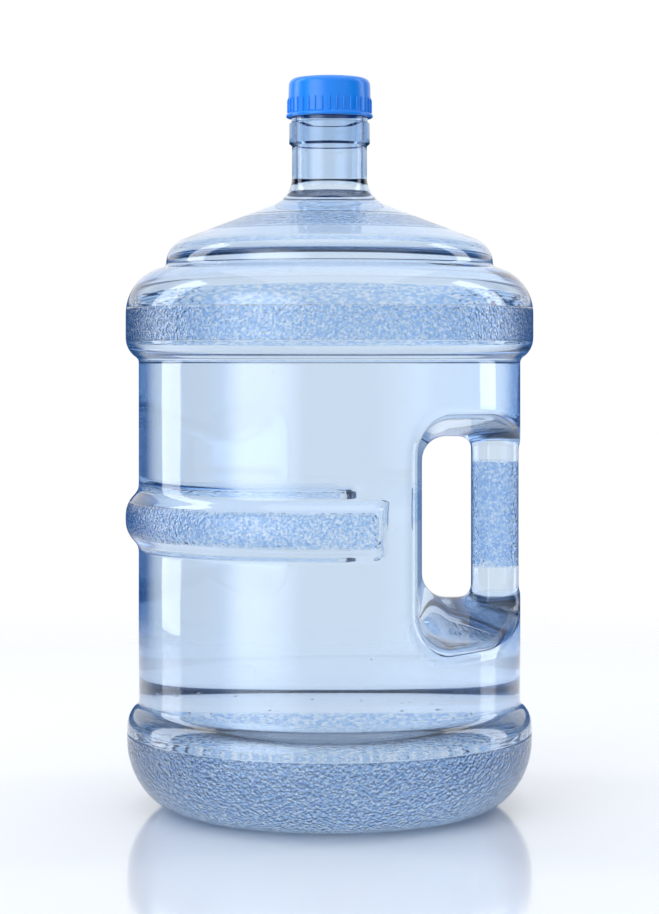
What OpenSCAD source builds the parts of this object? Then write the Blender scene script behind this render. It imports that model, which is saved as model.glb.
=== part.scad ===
// Large water jug: one blow-moulded clear bottle with a built-in hand grip,
// the water it holds, a screw cap with a real thread, and the cap's sealing liner.
// +Z is up along the jug's axis, the hand grip is on +X, and z = 0 is the foot.

/* [Body] */
// Diameter of the straight side
body_d = 252.8; // [220:1:310]
// Height of the straight side, between the base swell and the shoulder band
panel_h = 222; // [185:1:300]
// Wall of the bottle
wall = 1.6; // [1.2:0.1:2.4]

/* [Base] */
// How far the base swell stands out from the side
base_proud = 7.6; // [5:0.2:10]
// Height of the base's rounded underside
base_curve_h = 48; // [40:1:60]
// How far the rounded underside runs in from the swell to the foot
base_curve_w = 38; // [30:1:48]
// Height of the straight part of the base swell
base_flat_h = 6.5; // [4:0.5:10]
// Height of the slope from the base swell up to the side
base_slope_h = 16; // [14:0.5:20]
// Radius of the round at the top of the base swell
base_round = 15; // [12:1:18]
// Radius of the fillet where the base swell meets the side
base_fillet = 6; // [4:0.5:8]
// Width of the flat foot ring
foot_w = 12; // [8:1:16]
// Height of the raised middle of the underside
punt_h = 14; // [8:1:20]

/* [Shoulder] */
// How far the shoulder band and the side rib stand out from the side
band_proud = 8.6; // [5:0.2:10]
// Height of the straight part of the shoulder band
band_h = 16; // [10:1:24]
// Radius of the round under the shoulder band
band_round = 16; // [12:1:20]
// Radius of the fillet where the shoulder band meets the side
band_fillet = 4; // [3:0.5:6]
// Height of the slope from the side out to the shoulder band
band_slope_h = 17.5; // [16:0.5:22]
// Height of the lower shoulder curve
swell_h = 30; // [24:1:38]
// Width of the lower shoulder curve, seen from above
swell_w = 35; // [28:1:42]
// Width of the step between the shoulder curve and the drum
crease_w = 2.3; // [1.5:0.1:4]
// Height of the drum's upright side, over the step
drum_h = 1; // [0.5:0.1:3]
// Radius of the round from the crease over to the cone
drum_round = 20; // [15:0.5:26]
// Slope of the shoulder cone, in degrees
cone_slope = 21; // [16:1:26]
// Radius of the flare from the cone into the neck
flare_r = 20; // [14:1:24]

/* [Neck] */
// Outer diameter of the straight neck
neck_d = 49.8; // [44:0.2:60]
// Wall of the straight neck, from its outside to the mouth's bore
neck_wall = 3.2; // [2.8:0.1:3.8]
// Height of the straight neck, from the flare to the collar
neck_h = 22; // [16:1:34]
// Height of the collar
collar_h = 14; // [10:0.5:18]
// How far the collar stands out from the neck
collar_proud = 1.9; // [1.2:0.1:3]
// Height of the plain step above the collar
step_h = 5.6; // [4.5:0.1:8]
// Height of the threaded finish
finish_h = 21; // [18:0.5:26]
// How far the finish stands back from the neck
finish_back = 1; // [0.4:0.1:1.4]

/* [Thread] */
// Rise in one turn
pitch = 6; // [5:0.5:7.5]
// Turns of thread on the neck
neck_turns = 1.5; // [1:0.25:1.75]
// Turns of thread in the cap
cap_turns = 1.25; // [1:0.25:1.5]
// How far the thread's ridge stands out
ridge_h = 1.3; // [0.9:0.1:1.6]
// Width of the ridge where it leaves the wall
ridge_foot_w = 3.24; // [2.4:0.02:3.4]
// Width of the ridge's flat edge
ridge_top_w = 1.68; // [1:0.02:2]
// Height of the thread's start above the step
thread_start = 4.6; // [3:0.1:6]
// Gap between a ridge and the wall it faces
thread_gap = 0.5; // [0.3:0.1:0.8]

/* [Cap] */
// Gap between the collar and the closed cap's lip
cap_gap = 3.2; // [1.5:0.1:4.5]
// Wall of the cap's skirt
cap_wall = 1.8; // [1.4:0.1:2.6]
// Thickness of the cap's top
cap_top = 1.7; // [1.4:0.1:2.6]
// Radius of the round at the top edge
cap_edge = 5; // [3:0.5:6]
// How far the skirt leans in from its foot to the round
cap_taper = 0.5; // [0.2:0.1:1]
// Number of grip ribs
grip_ribs = 36; // [24:2:48]
// How far a grip rib stands out
grip_rib_h = 0.9; // [0.5:0.1:1.2]
// Width of a grip rib
grip_rib_w = 1.1; // [0.8:0.1:1.6]
// Height of the ribbed zone
grip_zone_h = 9.5; // [6:0.5:12]
// Height of the lip at the cap's lower edge
lip_h = 3.2; // [2.4:0.2:4.5]
// How far the lip stands out from the skirt
lip_proud = 1.4; // [0.9:0.1:2]
// Radius of the lip's outer edge
lip_round = 1.2; // [0.8:0.1:1.5]
// Thickness of the sealing liner
liner_t = 1.2; // [0.8:0.1:2]
// Gap under, over and round the liner
liner_gap = 0.1; // [0.05:0.05:0.2]

/* [Hand grip] */
// Width of the grip bar, seen from the front
grip_w = 32; // [26:1:40]
// Depth of the grip bar, from front to back
grip_depth = 38; // [30:1:46]
// Corner radius of the grip bar
grip_corner = 13; // [8:0.5:14]
// Width of the finger opening
hole_w = 33; // [28:1:40]
// Height of the finger opening
hole_h = 107; // [95:1:120]
// Corner radius of the finger opening
hole_corner = 16; // [12:0.5:16]
// How far the pocket opens up sideways towards the body's face
pocket_side = 7; // [4:1:12]
// How far the pocket opens up above the finger opening
pocket_up = 15; // [8:1:20]
// How far the pocket opens down below the finger opening
pocket_down = 24; // [10:1:26]
// How far in front of and behind the middle the pocket has nearly opened up
pocket_reach = 60; // [45:1:90]
// Share of the opening that it has reached there
pocket_share = 0.9; // [0.8:0.05:0.95]
// How far the grip bar stands back from the body's side
grip_back = 1.2; // [0.6:0.1:3]
// Height of the grip's and the rib's middle above the middle of the straight side
grip_rise = 9.5; // [0:0.5:12]

/* [Side rib] */
// Height of the rib where it leaves the side
rib_h = 46; // [40:1:56]
// Height of the rib's flat face
rib_flat = 21; // [16:1:26]
// How far the rib's round edges run in from its flat face
rib_round = 2.5; // [1.5:0.5:4]
// How far the rib's foot stands out before its slope starts
rib_foot = 1.5; // [1:0.5:3]
// How far the rib runs past the jug's axis
rib_end = 21; // [0:1:30]
// Turn that brings the rib further round in front and less far behind, in degrees
rib_turn = 5.5; // [0:0.1:12]
// Corner radius of the rib's ends
rib_corner = 9; // [6:1:14]

/* [Water] */
// Height of the air space, from the water's surface to the top of the flare
air_h = 10; // [6:1:30]
// Gap that keeps the water's solid clear of the wall
water_gap = 0.2; // [0.1:0.1:0.5]

/* [Hidden] */
arc_steps = 7;
fine = 96;
far = 1000;      // longer than anything here
over = 1;        // how far a cut or a joint runs past a face
thin = 0.1;      // thickness of a slice that a hull starts from
bar_sink = 6;    // how far the grip bar runs into the body at each end
bore_sink = 6;   // how far the mouth's bore runs down into the flare
rib_sink = 12;   // how far the side rib's ring runs into the body
rim_edge = 0.6;  // chamfer at the rim and at the foot of the lip
foot_turn = 75;  // where the raised middle of the underside leaves the foot, in degrees
turn_steps = 24; // straight steps in one turn of thread
lead_steps = 3;  // steps in which a ridge rises to its full height
lead_share = 0.35; // share of the ridge's height at its very ends

body_r = body_d / 2;
band_r = body_r + band_proud;
base_r = body_r + base_proud;
neck_r = neck_d / 2;
mouth_r = neck_r - neck_wall;

// Heights, from the foot up
base_flat_z = base_curve_h + base_flat_h;
panel_z = base_flat_z + base_slope_h;
panel_mid_z = panel_z + panel_h / 2;
band_z = panel_z + panel_h + band_slope_h;
swell_z = band_z + band_h;
crease_z = swell_z + swell_h;
grip_mid_z = panel_mid_z + grip_rise;

// The shoulder, from the crease in
swell_turn = 72;
crease_r = band_r - swell_w * (1 - cos(swell_turn));
drum_mid_r = crease_r - crease_w - drum_round;
drum_mid_z = crease_z + drum_h;
cone_r = drum_mid_r + drum_round * sin(cone_slope);
cone_z = drum_mid_z + drum_round * cos(cone_slope);
cone_foot_r = neck_r + flare_r * (1 - sin(cone_slope));
cone_foot_z = cone_z + (cone_r - cone_foot_r) * tan(cone_slope);
flare_z = cone_foot_z + flare_r * cos(cone_slope);
collar_z = flare_z + neck_h;
step_z = collar_z + collar_h;
finish_z = step_z + step_h;
rim_z = finish_z + finish_h;
finish_r = neck_r - finish_back;
step_r = neck_r + collar_proud / 3;
water_z = flare_z - air_h;

// The cap, from the finish out
cap_bore_r = finish_r + ridge_h + thread_gap;
cap_r = max(cap_bore_r + cap_wall, step_r + thread_gap + cap_wall * 0.8);
cap_z = step_z + cap_gap;
liner_z = rim_z + liner_gap;
cap_ceiling_z = liner_z + liner_t + liner_gap;
cap_top_z = cap_ceiling_z + cap_top;
neck_thread_z = finish_z + thread_start;
cap_thread_z = neck_thread_z - pitch / 2;

// Points of an arc, a circle's or an ellipse's, from angle a0 to a1
function arc(cx, cy, rx, ry, a0, a1, steps = arc_steps) =
    [for (i = [0 : steps]) let (a = a0 + (a1 - a0) * i / steps) [cx + rx * cos(a), cy + ry * sin(a)]];

// Outline of a box with round corners
function round_box(x0, x1, y0, y1, r) = concat(
    arc(x1 - r, y0 + r, r, r, -90, 0), arc(x1 - r, y1 - r, r, r, 0, 90),
    arc(x0 + r, y1 - r, r, r, 90, 180), arc(x0 + r, y0 + r, r, r, 180, 270));

// A side of a raised band: a round of radius big off the crest, a round of radius small into the body.
// side is 1 where the body lies above the crest and -1 where it lies below.
function band_side(crest_r, z, big, small, side) = let (
        run = big + small,
        turn = acos((run - (crest_r - body_r)) / run))
    concat(
        arc(crest_r - big, z, big, side * big, 0, turn),
        arc(body_r + small, z + side * run * sin(turn), -small, -side * small, turn, 0));

// A line without the points that repeat the one before
function distinct(p) = [for (i = [0 : len(p) - 1]) if (i == 0 || norm(p[i] - p[i - 1]) > 0.01) p[i]];

// Each point of a line moved square to it, to its left, by t
function unit(v) = v / norm(v);
function left(v) = [-v.y, v.x];
function inset(p, t) = let (n = len(p) - 1)
    [for (i = [0 : n]) let (
            a = i == 0 ? left(unit(p[1] - p[0])) : left(unit(p[i] - p[i - 1])),
            b = i == n ? left(unit(p[n] - p[n - 1])) : left(unit(p[i + 1] - p[i])),
            m = unit(a + b))
        p[i] + m * t / (m * a)];

function reverse(p) = [for (i = [len(p) - 1 : -1 : 0]) p[i]];

// The bottle's outside, from the middle of the underside out and up to the flare's top
function side_outline() = distinct(concat(
    [[0, punt_h]],
    arc(0, 0, base_r - base_curve_w - foot_w, punt_h, foot_turn, 0, 5),
    arc(base_r - base_curve_w, base_curve_h, base_curve_w, base_curve_h, -90, 0, 10),
    band_side(base_r, base_flat_z, base_round, base_fillet, 1),
    reverse(band_side(band_r, band_z, band_round, band_fillet, -1)),
    arc(band_r - swell_w, swell_z, swell_w, swell_h / sin(swell_turn), 0, swell_turn, 10),
    arc(drum_mid_r, drum_mid_z, drum_round, drum_round, 0, 90 - cone_slope, 8),
    arc(neck_r + flare_r, flare_z, flare_r, flare_r, 270 - cone_slope, 180, 8)));

// The outside of the neck above the flare
function neck_outline() = let (c = collar_proud) [
    [neck_r, collar_z - c], [neck_r + c, collar_z], [neck_r + c, step_z - c / 2], [step_r, step_z],
    [step_r, finish_z], [finish_r, finish_z], [finish_r, rim_z - rim_edge], [finish_r - rim_edge, rim_z]];

// Half of the side rib's ring, set in by t, from the body out to the flat face. side is 1 above and -1 below.
function rib_half(t, side) = let (
        flat_z = grip_mid_z + side * (rib_flat - t) / 2,
        edge_z = grip_mid_z + side * (rib_flat / 2 + (rib_h - rib_flat) * 0.15 - t),
        foot_z = grip_mid_z + side * (rib_h / 2 - over - t),
        end_z = grip_mid_z + side * (rib_h / 2 - t))
    [[body_r - rib_sink, end_z], [body_r - t, end_z], [body_r - t + rib_foot, foot_z],
     [band_r - t - rib_round, edge_z], [band_r - t, flat_z]];

// Turned shape of the body and shoulder, set in by t
module turned(t) {
    rotate_extrude($fn = fine)
        polygon(concat(inset(side_outline(), t), [[0, flare_z]]));
}

// The side rib: a ring cut off with a round-cornered end at the front and at the back
module side_rib(t) {
    intersection() {
        rotate_extrude($fn = fine) polygon(concat(rib_half(t, -1), reverse(rib_half(t, 1))));
        rotate([90, 0, rib_turn]) linear_extrude(height = far, center = true)
            polygon(round_box(-far / 2, rib_end - t, grip_mid_z - rib_h / 2 + t,
                grip_mid_z + rib_h / 2 - t, rib_corner - t));
    }
}

// The hand pocket's outline at the depth where it has opened up by share, grown by t
module pocket_slice(share, t) {
    rotate([90, 0, 0]) linear_extrude(height = thin, center = true)
        polygon(round_box(
            body_r - grip_w - hole_w - share * pocket_side - t, 2 * body_r,
            grip_mid_z - hole_h / 2 - share * pocket_down - t,
            grip_mid_z + hole_h / 2 + share * pocket_up + t,
            hole_corner + share * pocket_side + t));
}

// The hand pocket, open at the front and back and narrowest in the middle
module pocket(t) {
    for (side = [-1, 1]) hull() {
        translate([0, -side * over, 0]) pocket_slice(0, t);
        translate([0, side * pocket_reach, 0]) pocket_slice(pocket_share, t);
        translate([0, side * body_r, 0]) pocket_slice(1, t);
    }
}

// The grip bar, set in by t
module grip_bar(t) {
    translate([0, 0, grip_mid_z - hole_h / 2 - pocket_down - bar_sink])
        linear_extrude(height = hole_h + pocket_down + pocket_up + 2 * bar_sink)
            polygon(round_box(body_r - grip_w + t, body_r - grip_back - t,
                -grip_depth / 2 + t, grip_depth / 2 - t, grip_corner - t));
}

// Body, rib, hand pocket and grip bar, set in by t all round
module jug_form(t) {
    difference() {
        union() {
            turned(t);
            side_rib(t);
        }
        pocket(t);
    }
    grip_bar(t);
}

// A ridge that climbs round the axis. foot_r is inside the wall and top_r is the ridge's edge.
module thread(foot_r, top_r, z, turns) {
    steps = round(turns * turn_steps);
    function lead(i) = min(1, i / lead_steps, (steps - i) / lead_steps);
    function edge(i) = foot_r + (top_r - foot_r) * (lead_share + (1 - lead_share) * lead(i));
    function section(e) = [[foot_r, -ridge_foot_w / 2], [e, -ridge_top_w / 2],
        [e, ridge_top_w / 2], [foot_r, ridge_foot_w / 2]];
    function ring(i) = let (a = 360 * turns * i / steps, h = z + pitch * turns * i / steps)
        [for (q = section(edge(i))) [q.x * cos(a), q.x * sin(a), h + q.y]];
    points = [for (i = [0 : steps]) each ring(i)];
    sides = [for (i = [0 : steps - 1]) for (k = [0 : 3]) let (a = 4 * i + k, b = 4 * i + (k + 1) % 4)
        each [[a, a + 4, b], [b, a + 4, b + 4]]];
    last = 4 * steps;
    ends = [[0, 1, 2], [0, 2, 3], [last + 2, last + 1, last], [last + 3, last + 2, last]];
    faces = concat(sides, ends);
    polyhedron(points, top_r < foot_r ? faces : [for (f = faces) [f[2], f[1], f[0]]]);
}

module bottle() {
    color([0.62, 0.78, 0.95, 0.45]) {
        difference() {
            union() {
                jug_form(0);
                rotate_extrude($fn = fine)
                    polygon(concat([[0, flare_z - over], [neck_r, flare_z - over]],
                        neck_outline(), [[0, rim_z]]));
            }
            jug_form(wall);
            translate([0, 0, flare_z - bore_sink])
                cylinder(r = mouth_r, h = rim_z - flare_z + bore_sink + over, $fn = fine);
        }
        thread(finish_r - over / 2, finish_r + ridge_h, neck_thread_z, neck_turns);
    }
}

module water() {
    color([0.75, 0.87, 0.98, 0.5]) difference() {
        jug_form(wall + water_gap);
        translate([0, 0, water_z]) cylinder(r = crease_r, h = far, $fn = fine);
    }
}

module cap_liner() {
    color("white") translate([0, 0, liner_z])
        cylinder(r = cap_bore_r - 4 * liner_gap, h = liner_t, $fn = fine);
}

module screw_cap() {
    color([0.03, 0.47, 0.93]) {
        difference() {
            union() {
                rotate_extrude($fn = fine) polygon(concat(
                    [[0, cap_z], [cap_r + lip_proud - rim_edge, cap_z]],
                    arc(cap_r + lip_proud - lip_round, cap_z + lip_round, lip_round, lip_round, -60, 60, 5),
                    [[cap_r, cap_z + lip_h]],
                    arc(cap_r - cap_taper - cap_edge, cap_top_z - cap_edge, cap_edge, cap_edge, 0, 86),
                    [[0, cap_top_z]]));
                for (i = [0 : grip_ribs - 1]) rotate([0, 0, 360 * i / grip_ribs])
                    translate([cap_r - over, -grip_rib_w / 2, cap_z + lip_h / 2])
                        cube([over + grip_rib_h, grip_rib_w, lip_h / 2 + grip_zone_h]);
            }
            translate([0, 0, cap_z - over])
                cylinder(r = cap_bore_r, h = cap_ceiling_z - cap_z + over, $fn = fine);
            translate([0, 0, cap_z - over])
                cylinder(r = step_r + thread_gap, h = finish_z - cap_z + over + thread_gap, $fn = fine);
        }
        thread(cap_bore_r + over / 2, finish_r + thread_gap, cap_thread_z, cap_turns);
    }
}

bottle();
water();
cap_liner();
screw_cap();
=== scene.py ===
import math

import bpy
import numpy as np
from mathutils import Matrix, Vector


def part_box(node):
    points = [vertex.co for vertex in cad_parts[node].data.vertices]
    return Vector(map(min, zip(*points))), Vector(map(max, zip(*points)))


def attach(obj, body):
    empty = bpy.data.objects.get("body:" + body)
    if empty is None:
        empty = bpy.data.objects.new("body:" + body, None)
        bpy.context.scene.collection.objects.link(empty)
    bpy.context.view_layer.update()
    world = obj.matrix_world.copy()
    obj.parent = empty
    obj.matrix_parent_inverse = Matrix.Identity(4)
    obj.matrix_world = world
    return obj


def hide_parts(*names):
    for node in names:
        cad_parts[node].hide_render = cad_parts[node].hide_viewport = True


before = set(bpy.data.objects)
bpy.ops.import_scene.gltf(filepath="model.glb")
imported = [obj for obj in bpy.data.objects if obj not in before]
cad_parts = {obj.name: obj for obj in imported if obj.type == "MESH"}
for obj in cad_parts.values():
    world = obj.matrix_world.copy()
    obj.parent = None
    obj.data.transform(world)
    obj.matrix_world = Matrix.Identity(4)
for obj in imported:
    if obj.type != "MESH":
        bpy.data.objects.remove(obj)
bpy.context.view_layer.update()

mm = 0.001                                    # sizes below are in millimetres, meshes are written in metres


def boxMm(node):
    low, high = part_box(node)
    return np.array(low) / mm, np.array(high) / mm


bottleLow, bottleHigh = boxMm("bottle")
waterLow, waterHigh = boxMm("water")
capLow, capHigh = boxMm("screw_cap")
linerLow, linerHigh = boxMm("cap_liner")
print("frame loaded, jug is", round(bottleHigh[0] * 2, 1), "mm across and", round(capHigh[2], 1), "mm tall")


def newGroup(name, inputs, outputs):
    group = bpy.data.node_groups.new(name, "ShaderNodeTree")
    for kind, label, value in inputs:
        socket = group.interface.new_socket(label, in_out="INPUT", socket_type=kind)
        if value is not None:
            socket.default_value = value
    for kind, label in outputs:
        group.interface.new_socket(label, in_out="OUTPUT", socket_type=kind)
    return group, group.nodes.new("NodeGroupInput"), group.nodes.new("NodeGroupOutput")


def addNode(tree, kind, **settings):
    node = tree.nodes.new(kind)
    for key, value in settings.items():
        setattr(node, key, value)
    return node


def mathNode(tree, operation, a, b=None, c=None):
    node = addNode(tree, "ShaderNodeMath", operation=operation)
    for slot, value in enumerate((a, b, c)):
        if value is None:
            continue
        if isinstance(value, (int, float)):
            node.inputs[slot].default_value = value
        else:
            tree.links.new(value, node.inputs[slot])
    return node.outputs[0]


# an outline of corners joined by lines, each corner (radius, height, rounding) turned by an arc
def roundedPath(corners):
    parts = []
    last = np.array(corners[0][:2], float)
    for i in range(1, len(corners) - 1):
        here = np.array(corners[i][:2], float)
        before = here - np.array(corners[i - 1][:2], float)
        after = np.array(corners[i + 1][:2], float) - here
        before /= np.linalg.norm(before)
        after /= np.linalg.norm(after)
        turn = math.atan2(before[0] * after[1] - before[1] * after[0], before @ after)
        size = corners[i][2]
        reach = size * math.tan(abs(turn) / 2)
        start = here - before * reach
        side = 1 if turn > 0 else -1
        centre = start + side * size * np.array([-before[1], before[0]])
        if np.linalg.norm(start - last) > 0.01:
            parts.append(("line", last, start))
        first = math.atan2(start[1] - centre[1], start[0] - centre[0])
        parts.append(("arc", centre, size, first, turn, side))
        last = here + after * reach
    parts.append(("line", last, np.array(corners[-1][:2], float)))
    return parts


def pathDistance(parts, r, z):                # below zero on the left of the path
    best = np.full(r.shape, 1e9)
    signed = np.full(r.shape, 1e9)
    for part in parts:
        if part[0] == "line":
            start, stop = part[1], part[2]
            length = np.linalg.norm(stop - start)
            along = (stop - start) / length
            u = np.clip((r - start[0]) * along[0] + (z - start[1]) * along[1], 0, length)
            away = np.hypot(r - start[0] - u * along[0], z - start[1] - u * along[1])
            side = (r - start[0]) * along[1] - (z - start[1]) * along[0]
            value = np.where(side > 0, away, -away)
        else:
            _, centre, size, first, turn, side = part
            angle = np.arctan2(z - centre[1], r - centre[0])
            middle = first + turn / 2
            off = np.abs((angle - middle + math.pi) % (2 * math.pi) - math.pi)
            value = side * (np.hypot(r - centre[0], z - centre[1]) - size)
            away = np.where(off <= abs(turn) / 2 + 1e-6, np.abs(value), 1e9)
        nearer = away < best
        best = np.where(nearer, away, best)
        signed = np.where(nearer, value, signed)
    return signed


def smoothMax(a, b, k):
    h = np.maximum(k - np.abs(a - b), 0) / k
    return np.maximum(a, b) + h * h * k / 4


def smoothMin(a, b, k):
    return -smoothMax(-a, -b, k)


def roundBox(u, v, u0, u1, v0, v1, corner):
    du = np.abs(u - (u0 + u1) / 2) - (u1 - u0) / 2 + corner
    dv = np.abs(v - (v0 + v1) / 2) - (v1 - v0) / 2 + corner
    return np.hypot(np.maximum(du, 0), np.maximum(dv, 0)) + np.minimum(np.maximum(du, dv), 0) - corner


jug = {
    "bandProud": 8.6,      # shoulder band and side rib, off the side
    "baseProud": 7.6,      # base swell, off the side
    "wall": 1.6,
    "neckR": 24.9,
    "mouthR": 21.7, "mouthZ": 414, "funnelSlope": 2.5, "funnelRound": 3,
    "dishZ": 14, "dishR": 58, "dishEdgeZ": 13.2, "dishRound": 60,      # hollow underside
    "footInR": 83, "footInRound": 4, "footOutR": 112.5, "heelRound": 34,
    "swellZ": 27, "swellRound": 50, "baseTopZ": 61.5, "baseTopRound": 15,
    "sideLowZ": 67.9, "sideLowRound": 6, "sideHighZ": 295.7, "sideHighRound": 4,
    "bandLowZ": 301.6, "bandLowRound": 15.4, "bandHighZ": 348.9, "bandHighRound": 31,
    "drumR": 108.4, "drumZ": 356.7, "drumRound": 2,                    # the step in the shoulder
    "coneZ": 370.6, "coneRound": 18, "coneSlope": 21,                  # slope in degrees
    "flareRound": 20,
    "waistZ": 191.0,       # middle of the grip and of the rib
    "gripW": 32, "gripBack": 1.2, "gripDepth": 38, "gripCorner": 13,
    "gripOver": 14, "gripEndRound": 4,        # how far the grip bar runs into the body
    "holeW": 33, "holeH": 107, "holeCorner": 16,
    "pocketSide": 7, "pocketUp": 15, "pocketDown": 24,
    "waistRound": 6,       # softens the pocket's narrowest place
    "knee": 60, "kneeShare": 0.9, "kneeRound": 0.12,   # depth at which the pocket has nearly opened up
    "pocketEdge": 8,       # rounding where the pocket meets the side
    "gripBlend": 10,       # fillet where the grip bar meets the body
    "ribH": 46, "ribFlat": 21, "ribEnd": 21, "ribTurn": 5.5, "ribCorner": 9,
    "ribEdge": 5, "ribRound": 7, "ribFillet": 4,
    "ribSlope": (0.62, 0.785),                # outward and upward share of the rib's sloped sides
    "far": 400,            # reach of a cut that runs clear of the jug
}
jug["bandR"] = float(bottleHigh[0])
jug["sideR"] = jug["bandR"] - jug["bandProud"]
jug["rimZ"] = float(bottleHigh[2])


def sideCorners(j):
    side, band = j["sideR"], j["bandR"]
    base = side + j["baseProud"]
    drum, slope = j["drumR"], math.tan(math.radians(j["coneSlope"]))
    return [
        (0, j["dishZ"], 0), (j["dishR"], j["dishEdgeZ"], j["dishRound"]),
        (j["footInR"], 0, j["footInRound"]), (j["footOutR"], 0, j["heelRound"]),
        (base, j["swellZ"], j["swellRound"]),
        (base, j["baseTopZ"], j["baseTopRound"]), (side, j["sideLowZ"], j["sideLowRound"]),
        (side, j["sideHighZ"], j["sideHighRound"]), (band, j["bandLowZ"], j["bandLowRound"]),
        (band, j["bandHighZ"], j["bandHighRound"]),
        (drum, j["drumZ"], j["drumRound"]), (drum, j["coneZ"], j["coneRound"]),
        (j["neckR"], j["coneZ"] + (drum - j["neckR"]) * slope, j["flareRound"]),
        (j["neckR"], j["rimZ"], 0)]


sidePath = roundedPath(sideCorners(jug))


def bottleForm(x, y, z, t):                   # below zero inside the form, set in by t
    j = jug
    r = np.hypot(x, y)
    side = j["sideR"]
    turned = pathDistance(sidePath, r, z)
    # side rib: a ring with sloped sides, cut off at the front and back
    up = np.abs(z - j["waistZ"])
    outShare, upShare = j["ribSlope"]
    sloped = (r - j["bandR"]) * outShare + (up - j["ribFlat"] / 2) * upShare
    ring = smoothMax(r - j["bandR"], sloped, j["ribRound"])
    turn = math.radians(j["ribTurn"])
    ends = roundBox(x * math.cos(turn) + y * math.sin(turn), z, -j["far"], j["ribEnd"],
                    j["waistZ"] - j["ribH"] / 2, j["waistZ"] + j["ribH"] / 2, j["ribCorner"])
    rib = smoothMax(ring, ends, j["ribEdge"])
    body = smoothMin(turned, rib, j["ribFillet"])
    # hand pocket: narrowest in the middle, opening up to the front and back
    depth = np.sqrt(y * y + j["waistRound"] ** 2) - j["waistRound"]
    beyond = (depth - j["knee"]) * (1 - j["kneeShare"]) / (side - j["knee"])
    share = smoothMin(depth * j["kneeShare"] / j["knee"], j["kneeShare"] + beyond, j["kneeRound"])
    pocket = roundBox(x, z, side - j["gripW"] - j["holeW"] - share * j["pocketSide"], side + j["far"] / 2,
                      j["waistZ"] - j["holeH"] / 2 - share * j["pocketDown"],
                      j["waistZ"] + j["holeH"] / 2 + share * j["pocketUp"],
                      j["holeCorner"] + share * j["pocketSide"])
    cut = smoothMax(body + t, t - pocket, j["pocketEdge"])
    bar = roundBox(x, y, side - j["gripW"], side - j["gripBack"], -j["gripDepth"] / 2, j["gripDepth"] / 2,
                   j["gripCorner"])
    bar = smoothMax(bar, up - j["holeH"] / 2 - j["gripOver"], j["gripEndRound"])
    form = np.maximum(smoothMin(cut, bar + t, j["gripBlend"]), body + t)
    if t > 0:                                 # the neck's wall is thicker than the body's
        funnel = r - j["mouthR"] - np.maximum(j["mouthZ"] - z, 0) * j["funnelSlope"] + (t - j["wall"])
        form = smoothMax(form, funnel, j["funnelRound"])
    return form


def steps(*spans):                            # (start, stop, step) spans joined into one list
    out = []
    for start, stop, step in spans:
        count = max(1, round((stop - start) / step))
        out.extend(start + (stop - start) * i / count for i in range(count))
    out.append(spans[-1][1])
    return np.array(out)


net = {                                       # grid that the bottle's surface is laid on: start, stop, step
    "heights": steps((-2.8, 76, 2.8), (76, 108, 6.4), (108, 270, 3.1), (270, 291, 5), (291, 334, 2.5),
                     (334, 378, 1.8), (378, 426, 2.4)),
    "rings": steps((3, 57, 6), (57, 121, 3.1), (121, 138, 1.9)),
    "halfTurn": steps((0, 84, 1.75), (84, 180, 3.6)),      # degrees, finer round the grip
    "passes": 4, "probe": 0.05, "longestMove": 1.5, "leastSlope": 0.2,   # draws the points onto the form
    "normalProbe": 0.5,
}


def spokes():
    half = net["halfTurn"]
    return np.radians(np.concatenate([half[:-1], 360 - half[:0:-1]]))


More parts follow.
